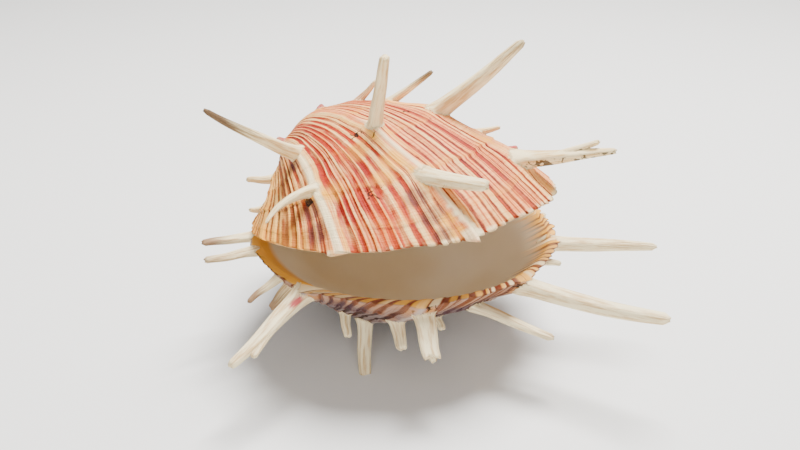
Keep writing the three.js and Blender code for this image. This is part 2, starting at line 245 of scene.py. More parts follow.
def valveSkin(valve):
    grid, form = skinGrid, skinForm
    edges, heights = ribletTable(valve)
    count = valve["riblets"]
    place = np.arange(count * grid["ribletColumns"] + 1) / grid["ribletColumns"]
    hingeTurn = 1 + np.arange(1, grid["hingeColumns"]) / grid["hingeColumns"]
    turn = np.concatenate([np.interp(place, np.arange(count + 1), edges), hingeTurn])
    place = np.concatenate([place, count * (2 - hingeTurn)])
    onHinge = (turn > 1).astype(float)
    crest = np.abs(np.sin(math.pi * place)) ** form["ribletRound"] * (1 - onHinge)
    tall = heights[np.minimum(place.astype(int), count)]
    awayFromHinge = np.clip(np.minimum(turn, 1 - turn) / form["hingeEase"], 0, 1)
    lively = (turn - valve["calmRim"]) / form["calmEase"]
    frilled = awayFromHinge * np.clip(lively, form["calmFrill"], 1)
    toothed = toothShare(valve["marginTeeth"], turn, valve["toothWidth"])
    tooth = valve["marginTooth"] * toothed
    (broad, broadCount), (fine, fineCount) = form["marginWaves"]
    wave = broad * np.sin(2 * math.pi * broadCount * turn + valve["seed"])
    wave = wave + fine * np.sin(2 * math.pi * fineCount * turn)
    scallop = valve["scallop"] * (crest * tall - form["scallopLevel"]) + wave
    short = valve["shortMargin"] * np.exp(-((turn - form["shortAt"]) / form["shortSpan"]) ** 2)
    margin = 1 + (tooth + scallop * frilled - short) / hingeReach

    share = np.linspace(0, 1, grid["outerRows"] + 1)[:, None]
    growth = grid["smallestGrowth"] + (margin - grid["smallestGrowth"]) * share
    sideways = np.zeros_like(growth)
    for strength, along, around in form["driftWaves"]:
        sideways = sideways + strength * np.sin(2 * math.pi * (along * growth + around * turn))
    turns = turn + valve["drift"] / fanLength * sideways * awayFromHinge
    at = surfaceFrame(valve["outer"], turns, growth)
    ribs = [(rib, 1.0) for rib, _ in valve["mainRibs"]]
    ribs = np.minimum(ribShare(ribs, turns, growth, valve["ribWidth"], valve["ribSlant"]), 1.0)
    white = ribShare(valve["mainRibs"], turns, growth, valve["whiteWidth"], valve["ribSlant"])
    white = np.minimum(white, 1.0)
    toTooth = np.clip((growth - form["toothStart"]) / (1 - form["toothStart"]), 0, 1) ** 2
    steps = stepShare(valve, turns, growth) + valve["toothRise"] * toothed * toTooth
    riblets = valve["ribletHeight"] * (crest * tall - form["ribletLevel"]) * (1 - onHinge)
    riblets = riblets * (1 - form["whiteSmooth"] * white) * np.clip(lively, form["calmRiblet"], 1)
    relief = (riblets + valve["ribHeight"] * ribs + steps) * growth
    outer = at["point"] + at["outward"] * relief[..., None]
    for row in valve["spines"]:  # the shell rises into the root of each spine
        root = surfaceFrame(valve["outer"], row["rib"], row["growth"])
        direction = spineDirection(root, row)
        level = direction - root["outward"] * (direction @ root["outward"])
        middle = root["point"] - form["swellBehind"] * row["width"] * level
        far = np.linalg.norm(at["point"] - middle, axis=-1)
        lift = valve["rootLift"] * row["width"] * np.exp(-(far / (form["swellSpan"] * row["width"])) ** 2)
        outer = outer + (root["outward"] + direction) / 2 * lift[..., None]

    # the rounded lip, corrugated by the riblets, and the smooth hollow
    lipShare = np.linspace(0, 1, grid["lipRows"] + 1)[1:-1, None]
    innerGrowth = np.linspace(1, grid["deepestGrowth"], grid["innerRows"] + 1)[:, None]
    innerGrowth = np.broadcast_to(innerGrowth, (grid["innerRows"] + 1, len(turn)))
    inner = grownPoints(valve["inner"], np.broadcast_to(turn, innerGrowth.shape), innerGrowth)
    ripple = valve["ripple"] * (crest * tall - form["ribletLevel"]) * frilled
    inner[..., 2] -= ripple * np.exp(-((1 - innerGrowth) / form["rippleReach"]) ** 2)
    lip = outer[-1] + (inner[0] - outer[-1]) * lipShare[..., None]
    lip[..., 2] -= awayFromHinge * valve["lipBulge"] * np.sin(math.pi * lipShare) ** form["lipRound"]

    rows = np.concatenate([outer, lip, inner])
    rowCount, columns = rows.shape[:2]
    points = np.concatenate([rows[0].mean(0)[None], rows.reshape(-1, 3), rows[-1].mean(0)[None]])
    faces = ringFaces(rowCount, columns)

    def field(values, first, last):
        return np.concatenate([[first], np.broadcast_to(values, (rowCount, columns)).ravel(), [last]])

    lipStart, lipRise = form["lipInside"]
    lipInside = np.broadcast_to(lipStart + lipRise * lipShare, (len(lipShare), columns))
    inside = np.concatenate([np.zeros_like(growth), lipInside, np.ones_like(innerGrowth)])
    grown = np.concatenate([growth, np.ones_like(lipInside), innerGrowth])
    ribs, white, turns = [
        np.concatenate([values, np.repeat(values[-1:], rowCount - len(values), 0)])
        for values in (ribs, white, turns)
    ]
    fields = {name: np.zeros(len(points)) for name in shellFields}
    fields["riblet"] = field(place, 0, 0)
    fields["growth"] = field(grown, grid["smallestGrowth"], grid["deepestGrowth"])
    fields["mainRib"] = field(ribs, 0, 0)
    fields["white"] = field(white, 0, 0)
    fields["turn"] = field(turns, form["apexTurn"], form["apexTurn"])
    fields["inside"] = field(inside, 0, 1)
    fields["hinge"] = field(onHinge, 0, 0)
    outside = fields["inside"] < form["spotLimit"]
    for row in valve["spines"]:
        root = surfaceFrame(valve["outer"], row["rib"], row["growth"])["point"]
        far = np.linalg.norm(points - root, axis=1)
        near = np.exp(-(far / (form["chalkSpan"] * row["width"])) ** 2) * outside
        fields["spine"] = np.maximum(fields["spine"], form["chalkShare"] * near)
        near = np.exp(-(far / (form["easeSpan"] * row["width"])) ** 4) * outside
        fields["root"] = np.maximum(fields["root"], near)
    for name, spots in valve["spots"].items():
        for rib, grownTo, size in spots:
            middle = surfaceFrame(valve["outer"], rib, grownTo)["point"]
            far = np.linalg.norm(points - middle, axis=1)
            fields[name] = np.maximum(fields[name], np.exp(-(far / size) ** 2) * outside)
    return points, faces, fields, (edges, count)


def ringFaces(rowCount, columns):
    # quads between neighbouring rings, with a fan of triangles to a pole at each end
    ring, side = np.meshgrid(np.arange(rowCount - 1), np.arange(columns), indexing="ij")
    near = 1 + ring * columns
    after = (side + 1) % columns
    quads = np.stack([near + side, near + after, near + columns + after, near + columns + side], -1)
    side = np.arange(columns)
    after = (side + 1) % columns
    last = rowCount * columns + 1
    first = np.stack([np.zeros_like(side), 1 + after, 1 + side], -1)
    end = np.stack([np.full_like(side, last), last - columns + side, last - columns + after], -1)
    return quads.reshape(-1, 4).tolist() + first.tolist() + end.tolist()


def bezier(first, bend, last, share):
    share = share[:, None]
    return (1 - share) ** 2 * first + 2 * share * (1 - share) * bend + share ** 2 * last


def spineDirection(at, row):
    lean = math.radians(row["lean"])
    sway = math.radians(row["sway"])
    leaning = at["onward"] * math.cos(sway) + at["across"] * math.sin(sway)
    return at["outward"] * math.cos(lean) + leaning * math.sin(lean)


def evenRoute(route, count):
    # the same route with points at even steps, its corner at the root eased
    for _ in range(spineForm["easeRounds"]):
        route[1:-1] = 0.5 * route[1:-1] + 0.25 * (route[:-2] + route[2:])
    run = np.concatenate([[0], np.cumsum(np.linalg.norm(np.diff(route, axis=0), axis=1))])
    wanted = np.linspace(0, run[-1], count)
    return np.stack([np.interp(wanted, run, route[:, axis]) for axis in range(3)], -1), wanted


def spineTube(route, widths, across, row, rng):
    form = spineForm
    sides = skinGrid["spineSides"]
    along = unit(np.gradient(route, axis=0))
    wide = unit(across - along * (along @ across)[:, None])
    thick = np.cross(along, wide)
    angle = 2 * math.pi * np.arange(sides) / sides
    reach = np.linspace(0, 1, len(route))[:, None]
    flutes = np.zeros_like(angle)
    for deep, number in form["flutes"]:
        flutes = flutes + deep * np.cos(number * angle + rng.uniform(*form["phases"]))
    turning = reach * rng.uniform(*form["bulgeTurns"]) + angle + rng.uniform(*form["phases"])
    under = np.exp(-((angle - form["gutterAt"]) / form["gutterSpan"]) ** 2)
    girth = 1 + flutes * np.minimum(1, reach * form["fluteStart"])
    girth = girth + form["bulge"] * np.sin(turning) - row["gutter"] * under
    half = widths[:, None] / 2 * girth
    ring = route[:, None] + wide[:, None] * (half * np.cos(angle))[..., None]
    ring = ring + thick[:, None] * (half * row["flat"] * np.sin(angle))[..., None]
    torn = np.sin(form["tornWaves"] * angle + rng.uniform(*form["phases"]))
    torn = torn + rng.uniform(*form["tornNoise"], sides)
    atEnd = np.clip((reach - form["tornStart"]) / (1 - form["tornStart"]), 0, 1) ** 2
    ring = ring + along[:, None] * (row["ragged"] * torn * atEnd)[..., None]
    end = ring[-1].mean(0)
    points = np.concatenate([ring[0].mean(0)[None], ring.reshape(-1, 3), end[None]])
    spread = 0 * reach
    run = np.linalg.norm(route - route[0], axis=1)[:, None]
    lengthwise = form["grainStretch"] * run + 0 * angle
    skin = np.stack([np.cos(angle) + spread, np.sin(angle) + spread, lengthwise], -1).reshape(-1, 3)
    skin = np.concatenate([skin[:1], skin, skin[-1:]])
    reach = np.concatenate([[0], np.repeat(reach[:, 0], sides), [1]])
    return points, ringFaces(len(route), sides), reach, skin


def spineBody(valve, row, rng):
    # out of its rib, off the surface and on to a blunt tip, with the second prong where there is one
    form = spineForm
    at = surfaceFrame(valve["outer"], row["rib"], row["growth"])
    direction = spineDirection(at, row)
    tip = at["point"] + direction * row["length"]
    bow = unit(at["onward"] - direction * (at["onward"] @ direction))
    bend = (at["point"] + tip) / 2 - bow * 2 * row["curl"]
    leaning = math.sin(math.radians(row["lean"]))
    ramp = row["width"] * (form["rampUpright"] + form["rampLeaning"] * leaning)
    before = surfaceFrame(valve["outer"], row["rib"], row["growth"] - ramp / at["speed"])
    sunk = before["point"] - before["outward"] * form["sunk"]
    lead = sunk + (at["point"] - sunk) * np.linspace(0, 1, form["leadPoints"], endpoint=False)[:, None]
    path = bezier(at["point"], bend, tip, np.linspace(0, 1, form["pathPoints"]))
    route, run = evenRoute(np.concatenate([lead, path]), skinGrid["spineRings"])
    rootRun = np.linalg.norm(at["point"] - sunk)
    out = np.clip((run - rootRun) / row["length"], 0, 1)
    widths = row["tip"] + (row["width"] - row["tip"]) * (1 - out ** row["hold"])
    flare = form["flare"] * (1 - form["flatLoss"] * leaning ** form["flatPower"])
    widths = widths * (1 + flare * np.exp(-np.abs(run - rootRun) / (form["flareSpan"] * row["width"])))
    widths = widths * np.clip(form["startWidth"] + (1 - form["startWidth"]) * run / rootRun, 0, 1)
    closing = np.clip((run[-1] - run) / (form["closing"] * row["tip"]), 0, 1)
    widths = widths * (row["blunt"] + (1 - row["blunt"]) * np.sqrt(1 - (1 - closing) ** 2))
    wobble = np.sin(out * rng.uniform(*form["wobbleTurns"]) + rng.uniform(*form["phases"]))
    sideways = at["across"] * (form["wobble"] * wobble * out)[:, None]
    yield spineTube(route + sideways, widths, at["across"], row, rng)
    if row["fork"]:
        fork = row["fork"]
        split = bezier(at["point"], bend, tip, np.array([fork["start"]]))[0]
        forkTip = at["point"] + spineDirection(at, fork) * fork["length"]
        back = split - unit(forkTip - split) * form["forkSunk"] * fork["width"]
        route, run = evenRoute(np.linspace(back, forkTip, form["forkPoints"]), skinGrid["spineRings"])
        widths = fork["width"] + (fork["tip"] - fork["width"]) * run / run[-1]
        closing = np.clip((run[-1] - run) / (form["forkClosing"] * fork["tip"]), 0, 1)
        widths = widths * (form["forkBlunt"] + (1 - form["forkBlunt"]) * np.sqrt(1 - (1 - closing) ** 2))
        yield spineTube(route, widths, at["across"], row, rng)


def meshObject(name, points, faces, fields, skin=None):
    mesh = bpy.data.meshes.new(name)
    mesh.from_pydata(np.asarray(points).tolist(), [], faces)
    for key, values in fields.items():
        mesh.attributes.new(key, "FLOAT", "POINT").data.foreach_set("value", np.asarray(values, np.float32))
    lie = np.zeros((len(points), 3), np.float32) if skin is None else np.asarray(skin, np.float32)
    mesh.attributes.new("skin", "FLOAT_VECTOR", "POINT").data.foreach_set("vector", lie.ravel())
    made = bpy.data.objects.new(name, mesh)
    bpy.context.scene.collection.objects.link(made)
    return made


def combine(base, tool, operation):
    cut = base.modifiers.new(operation.lower(), "BOOLEAN")
    cut.operation = operation
    cut.solver = "MANIFOLD"
    cut.object = tool
    bpy.context.view_layer.objects.active = base
    bpy.ops.object.modifier_apply(modifier=cut.name)
    mesh = tool.data
    bpy.data.objects.remove(tool)
    bpy.data.meshes.remove(mesh)


def growSpines(valve, base, table):
    edges, count = table
    form = spineForm
    for number, row in enumerate(valve["spines"]):
        rng = np.random.default_rng(seedStep * valve["seed"] + number)
        for points, faces, reach, skin in spineBody(valve, row, rng):
            fields = {name: np.zeros(len(points)) for name in shellFields}
            fields["riblet"] += np.interp(row["rib"], edges, np.arange(count + 1))
            fields["growth"] += row["growth"]
            fields["turn"] += row["rib"]
            fields["mainRib"] += 1.0
            fields["white"] += 1.0
            fields["spine"] = np.clip(form["chalkStart"] + form["chalkRise"] * reach, 0, 1)
            fields["root"] = np.exp(-(reach * row["length"] / (form["rootSpan"] * row["width"])) ** 2)
            browned = np.clip((reach - form["stainStart"]) / (1 - form["stainStart"]), 0, 1)
            fields["stain"] = row["stain"] * browned
            fields["blush"] = row["blush"] * np.exp(-((reach - row["blushAt"]) / row["blushSpan"]) ** 2)
            if row["blushSpan"] < form["blushRound"]:
                facing = skin[:, 0] * math.cos(row["blushSide"]) + skin[:, 1] * math.sin(row["blushSide"])
                fields["blush"] = fields["blush"] * np.maximum(facing, 0) ** form["blushFocus"]
            fields["grime"] += row["grime"]
            tool = meshObject("spineTool", points, faces, fields, skin + form["grainShift"] * number)
            combine(base, tool, "UNION")


def neighbourSum(values, ends):
    total = np.zeros_like(values)
    for axis in range(values.shape[1]):
        total[:, axis] += np.bincount(ends[:, 0], values[ends[:, 1], axis], len(values))
        total[:, axis] += np.bincount(ends[:, 1], values[ends[:, 0], axis], len(values))
    return total


def readField(mesh, name):
    part = "vector" if name == "skin" else "value"
    wide = 3 if name == "skin" else 1
    values = np.zeros(len(mesh.vertices) * wide, np.float32)
    mesh.attributes[name].data.foreach_get(part, values)
    return values.reshape(-1, wide).astype(float)


def fillSeams(mesh, ends):
    # the points that a union makes have no field values yet: they take those of their neighbours
    known = (readField(mesh, "growth") > 0).astype(float)
    fields = {name: readField(mesh, name) for name in shellFields + ("skin",)}
    for _ in range(joining["seamRounds"]):
        weight = neighbourSum(known, ends)
        ready = (known[:, 0] == 0) & (weight[:, 0] > 0)
        for values in fields.values():
            values[ready] = (neighbourSum(values * known, ends) / np.maximum(weight, 1))[ready]
        known[ready] = 1
    for name, values in fields.items():
        part = "vector" if name == "skin" else "value"
        mesh.attributes[name].data.foreach_set(part, values.astype(np.float32).ravel())


def smoothRoots(mesh, ends):
    # eases the crease where a spine leaves its rib
    points = np.zeros(len(mesh.vertices) * 3)
    mesh.vertices.foreach_get("co", points)
    points = points.reshape(-1, 3)
    share = joining["easeShare"] * np.clip(readField(mesh, "root"), 0, 1)
    links = np.bincount(ends.ravel(), minlength=len(points))[:, None]
    for _ in range(joining["easeRounds"]):
        points += (neighbourSum(points, ends) / links - points) * share
    mesh.vertices.foreach_set("co", points.ravel())


def edgeEnds(mesh):
    ends = np.zeros(len(mesh.edges) * 2, np.int64)
    mesh.edges.foreach_get("vertices", ends)
    return ends.reshape(-1, 2)


def hingeLump(size, side, extra, placing, fields):
    # a rounded tooth of the hinge, or the room for one, in the frame of a valve
    rings, columns = shellShape["lumpRings"], shellShape["lumpColumns"]
    polar = np.linspace(0, math.pi, rings + 2)[1:-1, None]
    angle = 2 * math.pi * np.arange(columns) / columns
    x, y, z = (np.sin(polar) * np.cos(angle), -np.sin(polar) * np.sin(angle), np.cos(polar) + 0 * angle)
    ball = np.stack([x, y, z], -1).reshape(-1, 3)
    ball = np.concatenate([[[0, 0, 1]], ball, [[0, 0, -1]]]) * (np.array(size) + extra)
    ball = ball + np.array([side, -shellShape["hingeSetIn"], 0])
    turned = np.array([placing.inverted() @ Vector(point) for point in ball])
    values = {name: np.full(len(ball), float(fields.get(name, 0))) for name in shellFields}
    return meshObject("hingeTool", turned, ringFaces(rings, columns), values)


ligamentLow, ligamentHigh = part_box("hinge_ligament")
hingeOrigin = (ligamentLow + ligamentHigh) / 2 + Vector((0, shellShape["hingeSetIn"] * mm, 0))
lowerPlacing = Matrix.Rotation(math.pi, 4, "Y")
upperPlacing = Matrix.Translation((0, 0, shellShape["hingeGap"]))
upperPlacing = upperPlacing @ Matrix.Rotation(-math.radians(shellShape["gape"]), 4, "X")
toRow = Matrix.Translation(hingeOrigin) @ Matrix.Scale(mm, 4)
print("hinge found at", [round(value, 4) for value in hingeOrigin])

ribA, ribB, ribC = 0.714, 0.57, 0.405  # main ribs of the upper valve that carry the long spines
upperValve = {
    "outer": {"radius": 45.0, "hingeY": 0.0, "apex": (0, 3, 1), "coil": 1.0},
    "inner": {"radius": 42.5, "hingeY": -8.0, "apex": (0, -6, 0.8), "coil": 0.96},
    "seed": 4,
    "riblets": 68,
    "ribletHeight": 0.65,
    "ribHeight": 1.2,
    "ribWidth": 2.2,
    "whiteWidth": 1.8,
    "ribSlant": 0.03,  # how far the main ribs swerve near the margin
    "drift": 0.2,  # how far a riblet wanders aside
    "rootLift": 0.3,
    "mainRibs": [  # place round the fan and how white
        (0.1, 0.4), (0.25, 0.4), (ribC, 0.45), (ribB, 0.66), (ribA, 0.9), (0.845, 0.4),
    ],
    "marginTeeth": [(0.7225, 1, 1.1), (0.564, -1, 1.5)],  # place, side it points to, size
    "marginTooth": 1.5,
    "toothRise": 1.0,
    "toothWidth": 2.2,
    "calmRim": -0.1,
    "shortMargin": 1.8,
    "scallop": 0.7,
    "ripple": 0.35,
    "lipBulge": 0.25,
    "growthSteps": [(0.36, 0.3), (0.52, 0.35), (0.66, 0.35), (0.805, 0.7), (0.93, 0.2)],
    "spots": {  # place round the fan, place from beak to margin, size
        "grime": [
            (0.731, 0.80, 2.0), (0.60, 0.617, 2.6), (0.575, 0.65, 2.2), (0.627, 0.816, 1.8),
            (0.65, 0.825, 2.2), (0.643, 0.85, 1.8), (0.397, 0.838, 1.9), (0.735, 0.586, 2.0),
            (0.47, 0.594, 1.6),
        ],
        # dark purple-brown patches below the spines on ribs A and B: the shell's own brown with the spines'
        # shadow painted in
        "bruiseAndShadow": [
            (0.733, 0.84, 4.0), (0.73, 0.92, 4.5), (0.737, 0.6, 3.0),
            (0.596, 0.87, 3.8), (0.594, 0.93, 3.6), (0.592, 0.98, 2.8),
        ],
        "amber": [
            (0.623, 0.68, 4.0), (0.59, 0.75, 5.0), (0.62, 0.79, 4.0),
            (0.579, 0.95, 2.8), (0.577, 0.985, 2.8), (0.69, 0.79, 4.0),
        ],
        "crust": [(0.733, 0.80, 1.7), (0.397, 0.838, 1.4), (0.60, 0.617, 1.2), (0.575, 0.65, 1.2)],
        "white": [
            (0.561, 1.0, 2.7), (0.5626, 0.98, 2.52), (0.5642, 0.96, 2.34), (0.5658, 0.94, 2.16),
            (0.5674, 0.92, 1.98),
        ],
    },
    "spines": [
        spine(ribA, 0.55, 34, 16, -32, 4.4, 1.5, -3.2, stain=0.75),
        spine(ribA, 0.76, 20, 58, -48, 4, 1.0, 2.5, blunt=0.3),
        spine(0.565, 0.62, 23.5, 15, 44, 4.4, 3, blunt=0.95),
        spine(ribB, 0.82, 19.5, 69, 27, 5.4, 3.6, grime=0.42, blunt=0.8),
        spine(ribC, 0.638, 34, 34, 4, 6.4, 3, -0.5, stain=0.35, hold=1.7),
        spine(
            ribC, 0.88, 28.5, 48, 6, 6.6, 2.2, fork=prong(0.35, 24.5, 41, 7, 3.6, 2),
            grime=0.55, blunt=0.9,
        ),
        spine(ribC, 0.5, 16.5, 49, 12, 3.2, 1.6, stain=0.6),
        spine(0.44, 0.42, 9, 48, 15, 2.8, 1.4, blush=0.5, blushSpan=0.6),
        spine(0.34, 0.76, 6.5, 50, 3, 2.8, 1.6),
        spine(0.845, 0.5, 9, 30, -12, 2.8, 1.6),
        spine(0.9, 0.8, 4, 35, -14, 2.4, 1.4),
        spine(ribA, 0.34, 4, 40, 0, 3, 1.8, blush=0.8, blushSpan=2.0),
        spine(0.52, 0.34, 1.8, 40, 0, 2.6, 1.8, blush=0.8, blushSpan=2.0),
        spine(0.34, 0.86, 2.5, 40, 0, 2.6, 1.8, blush=0.8, blushSpan=2.0),
        spine(0.25, 0.55, 10, 42, 30, 3.4, 1.8),
        spine(0.22, 0.84, 10, 46, 30, 3.6, 2, 1),
        spine(0.1, 0.72, 8, 42, 10, 3, 1.6),
    ],
}
lowerValve = {
    "outer": {"radius": 45.0, "hingeY": 0.0, "apex": (0, 5, 4), "coil": 0.88},
    "inner": {"radius": 42.5, "hingeY": -8.0, "apex": (0, -6, 0.8), "coil": 0.88},
    "seed": 9,
    "riblets": 72,
    "ribletHeight": 0.9,
    "ribHeight": 1.2,
    "ribWidth": 2.6,
    "whiteWidth": 2.4,
    "ribSlant": 0.0,
    "drift": 0.5,
    "rootLift": 0.3,
    "mainRibs": [(rib, 0.7) for rib in (0.1, 0.24, 0.375, 0.515, 0.625, 0.72, 0.81, 0.9)],
    "marginTeeth": [],
    "marginTooth": 0.0,
    "toothRise": 0.0,
    "toothWidth": 1.6,
    "shortMargin": 0.0,
    "calmRim": 0.17,  # share of the margin, from the left end of the hinge, that stays smooth
    "scallop": 0.8,
    "ripple": 0.32,
    "lipBulge": 0.4,
    "growthSteps": [(0.4, 0.3), (0.6, 0.4), (0.76, 0.5), (0.88, 0.5)],
    "spots": {
        "grime": [
            (0.503, 0.98, 3.0), (0.5, 0.95, 2.4), (0.466, 0.91, 2.6), (0.384, 0.985, 3.2),
            (0.374, 0.98, 2.6),
        ],
        "crust": [(0.504, 0.985, 2.2), (0.466, 0.91, 1.8), (0.384, 0.99, 2.0), (0.376, 0.99, 1.6)],
        # dark purple-brown patches near the margin, part of the painted shade on this valve's outside
        "bruiseAndShadow": [(0.3, 0.9, 6.0), (0.45, 0.88, 6.0)],
        "amber": [(0.378, 0.99, 4.0), (0.24, 0.99, 4.0), (0.515, 0.99, 4.0)],
    },
    "spines": [
        spine(
            0.241, 0.96, 30.5, 29, 29, 5.2, 2.4, fork=prong(0.4, 25, 27, 18, 3.4, 1.8),
            gutter=0.2, blush=1.0, blushAt=0.32, blushSpan=0.09, blushSide=4.4, blunt=0.8,
        ),
        spine(0.217, 0.89, 9.5, 26, 17, 4, 2.4, stain=0.7),
        spine(0.197, 0.97, 12, 30, 23, 2.6, 1.3, stain=0.9),
        spine(0.085, 0.97, 16, 50, 24, 3.2, 2, stain=0.8),
        spine(0.125, 0.98, 16.5, 54, 20, 3.2, 2, stain=0.4),
        spine(0.359, 0.68, 17.4, 13, -35, 4.4, 3.4),
        spine(0.373, 0.83, 10, 23, -13, 4.2, 3, stain=0.3),
        spine(0.312, 0.75, 8, 31, -29, 3, 2.2),
        spine(0.384, 0.95, 14.5, 19, 4, 5.8, 4.8, ragged=1.1, flat=0.4, blunt=1.0, grime=0.2),
        spine(0.44, 0.8, 5, 28, 0, 3, 2),
        spine(0.475, 0.87, 25, 50, -24, 4, 2.4, stain=0.35),
        spine(0.515, 0.96, 43, 51, -13, 5, 3.2, 1.5, grime=0.2, flat=1.0, hold=2.0, blunt=0.35),
        spine(0.625, 0.97, 31.5, 52, -5, 4.2, 2, hold=2.2, flat=1.05, stain=0.3, blunt=0.3),
        spine(0.58, 0.96, 6, 49, -9, 2.8, 1.6),
        spine(0.64, 0.62, 15, 11, -21, 4.2, 3.2),
        spine(0.7, 0.38, 13, 25, 35, 4, 3.2),
        spine(0.4, 0.3, 7.6, 38, -59, 4, 3),
        spine(0.72, 0.94, 9, 35, -20, 3.6, 2.2),
        spine(0.81, 0.96, 15, 46, -8, 3.6, 2),
        spine(0.9, 0.95, 12, 44, 6, 3.2, 1.8),
    ],
}


def valvePiece(name, valve, placing, finish):
    points, faces, fields, table = valveSkin(valve)
    piece = meshObject(name, points, faces, fields)
    growSpines(valve, piece, table)
    fillSeams(piece.data, edgeEnds(piece.data))
    smoothRoots(piece.data, edgeEnds(piece.data))
    hinge = {"inside": 1.0, "growth": 0.9, "hinge": 1.0}  # field values of the cut and added faces
    for side in (-shellShape["toothSpread"], shellShape["toothSpread"]):
        if placing is upperPlacing:
            room = hingeLump(shellShape["toothSize"], side, shellShape["clearance"], placing, hinge)
            combine(piece, room, "DIFFERENCE")
        else:
            combine(piece, hingeLump(shellShape["toothSize"], side, 0.0, placing, hinge), "UNION")
    pit = hingeLump(shellShape["ligamentSize"], 0, shellShape["clearance"], placing, hinge)
    combine(piece, pit, "DIFFERENCE")
    fillSeams(piece.data, edgeEnds(piece.data))
    if placing is lowerPlacing:
        for vertex in piece.data.vertices:  # the feet are worn flat where they stand
            vertex.co.z = min(vertex.co.z, shellShape["restHeight"])
    piece.data.transform(toRow @ placing)
    piece.data.shade_smooth()
    piece.data.materials.clear()
    piece.data.materials.append(finish)
    print(name, "has", len(piece.data.polygons), "faces")
    return piece


screenCurve = {"toe": 0.04045, "toeSlope": 12.92, "offset": 0.055, "power": 2.4}


def tint(code):
    # a colour written as in a paint program, as linear values
    curve = screenCurve
    parts = [int(code[at:at + 2], 16) / 255 for at in (1, 3, 5)]
    linear = []
    for part in parts:
        light = ((part + curve["offset"]) / (1 + curve["offset"])) ** curve["power"]
        linear.append(part / curve["toeSlope"] if part <= curve["toe"] else light)
    return (*linear, 1.0)


class Wire:
    def __init__(self, finish, socket):
        self.finish = finish
        self.socket = socket

    def calc(self, operation, first, second=0.0):
        return self.finish.node("ShaderNodeMath", {"operation": operation}, {0: first, 1: second})

    def __add__(self, other):
        return self.calc("ADD", self, other)

    def __radd__(self, other):
        return self.calc("ADD", other, self)

    def __sub__(self, other):
        return self.calc("SUBTRACT", self, other)

    def __rsub__(self, other):
        return self.calc("SUBTRACT", other, self)

    def __mul__(self, other):
        return self.calc("MULTIPLY", self, other)

    def __rmul__(self, other):
        return self.calc("MULTIPLY", other, self)

    def __abs__(self):
        return self.calc("ABSOLUTE", self)

    def __mod__(self, other):
        return self.calc("FLOORED_MODULO", self, other)

    def sine(self):
        return self.calc("SINE", self)

    def uneven(self, name):
        return (self - 0.5) * self.finish.paint[name]  # noise or chance, spread evenly about zero


class Finish:
    def __init__(self, name, paint):
        self.paint = paint
        self.material = bpy.data.materials.new(name)
        self.material.use_nodes = True
        self.tree = self.material.node_tree
        self.shader = self.tree.nodes["Principled BSDF"]

    def node(self, kind, settings, values, output=0):
        made = self.tree.nodes.new(kind)
        for key, value in settings.items():
            setattr(made, key, value)
        self.feed(made, values)
        return Wire(self, made.outputs[output])

    def feed(self, made, values):
        for key, value in values.items():
            if isinstance(value, Wire):
                self.tree.links.new(value.socket, made.inputs[key])
            else:
                made.inputs[key].default_value = value

    def field(self, name):
        return self.node("ShaderNodeAttribute", {"attribute_name": name}, {}, "Fac")

    def vector(self, x, y, z):
        return self.node("ShaderNodeCombineXYZ", {}, {0: x, 1: y, 2: z})

    def noise(self, where, scale, detail=2.0, roughness=0.5):
        values = {"Vector": where, "Scale": scale, "Detail": detail, "Roughness": roughness}
        return self.node("ShaderNodeTexNoise", {}, values, "Fac")

    def chance(self, number):
        return self.node("ShaderNodeTexWhiteNoise", {"noise_dimensions": "1D"}, {"W": number}, "Value")

    def rise(self, value, low, high):
        values = {"Value": value, "From Min": low, "From Max": high}
        return self.node("ShaderNodeMapRange", {"interpolation_type": "SMOOTHSTEP"}, values)

    def edge(self, value, name):
        return self.rise(value, *self.paint[name])

    def band(self, value, name):
        low, high, fall, end = self.paint[name]
        return self.rise(value, low, high) * (1 - self.rise(value, fall, end))

    def blend(self, share, first, second, mode="MIX"):
        # the colours of a Mix node are its sockets 6 and 7, and its output 2
        settings = {"data_type": "RGBA", "blend_type": mode, "clamp_factor": True}
        return self.node("ShaderNodeMix", settings, {0: share, 6: first, 7: second}, 2)


# streaks that follow the riblets: how often across and along, their place in the noise, detail
streakForm = {
    "wander": (0.9, 14.0, 0.0, 3.0),
    "fleck": (4.0, 75.0, 3.0, 3.0),
    "fibre": (8.0, 10.0, 2.0, 3.0),
    "lines": (0.3, 230.0, 1.0, 2.0),
    "fading": (1.3, 9.0, 5.0, 3.0),
    "hairline": (6.0, 5.0, 7.0, 2.0),
    "threads": (4.0, 2.0, 9.0, 2.0),
}
# noise in space: scale, detail, roughness
noiseForm = {
    "patch": (60.0, 3.0, 0.5),
    "cloud": (26.0, 2.0, 0.5),
    "broken": (70.0, 2.0, 0.5),
    "hair": (170.0, 1.0, 0.5),
    "speck": (800.0, 3.0, 0.6),
    "grain": (2600.0, 2.0, 0.5),
}
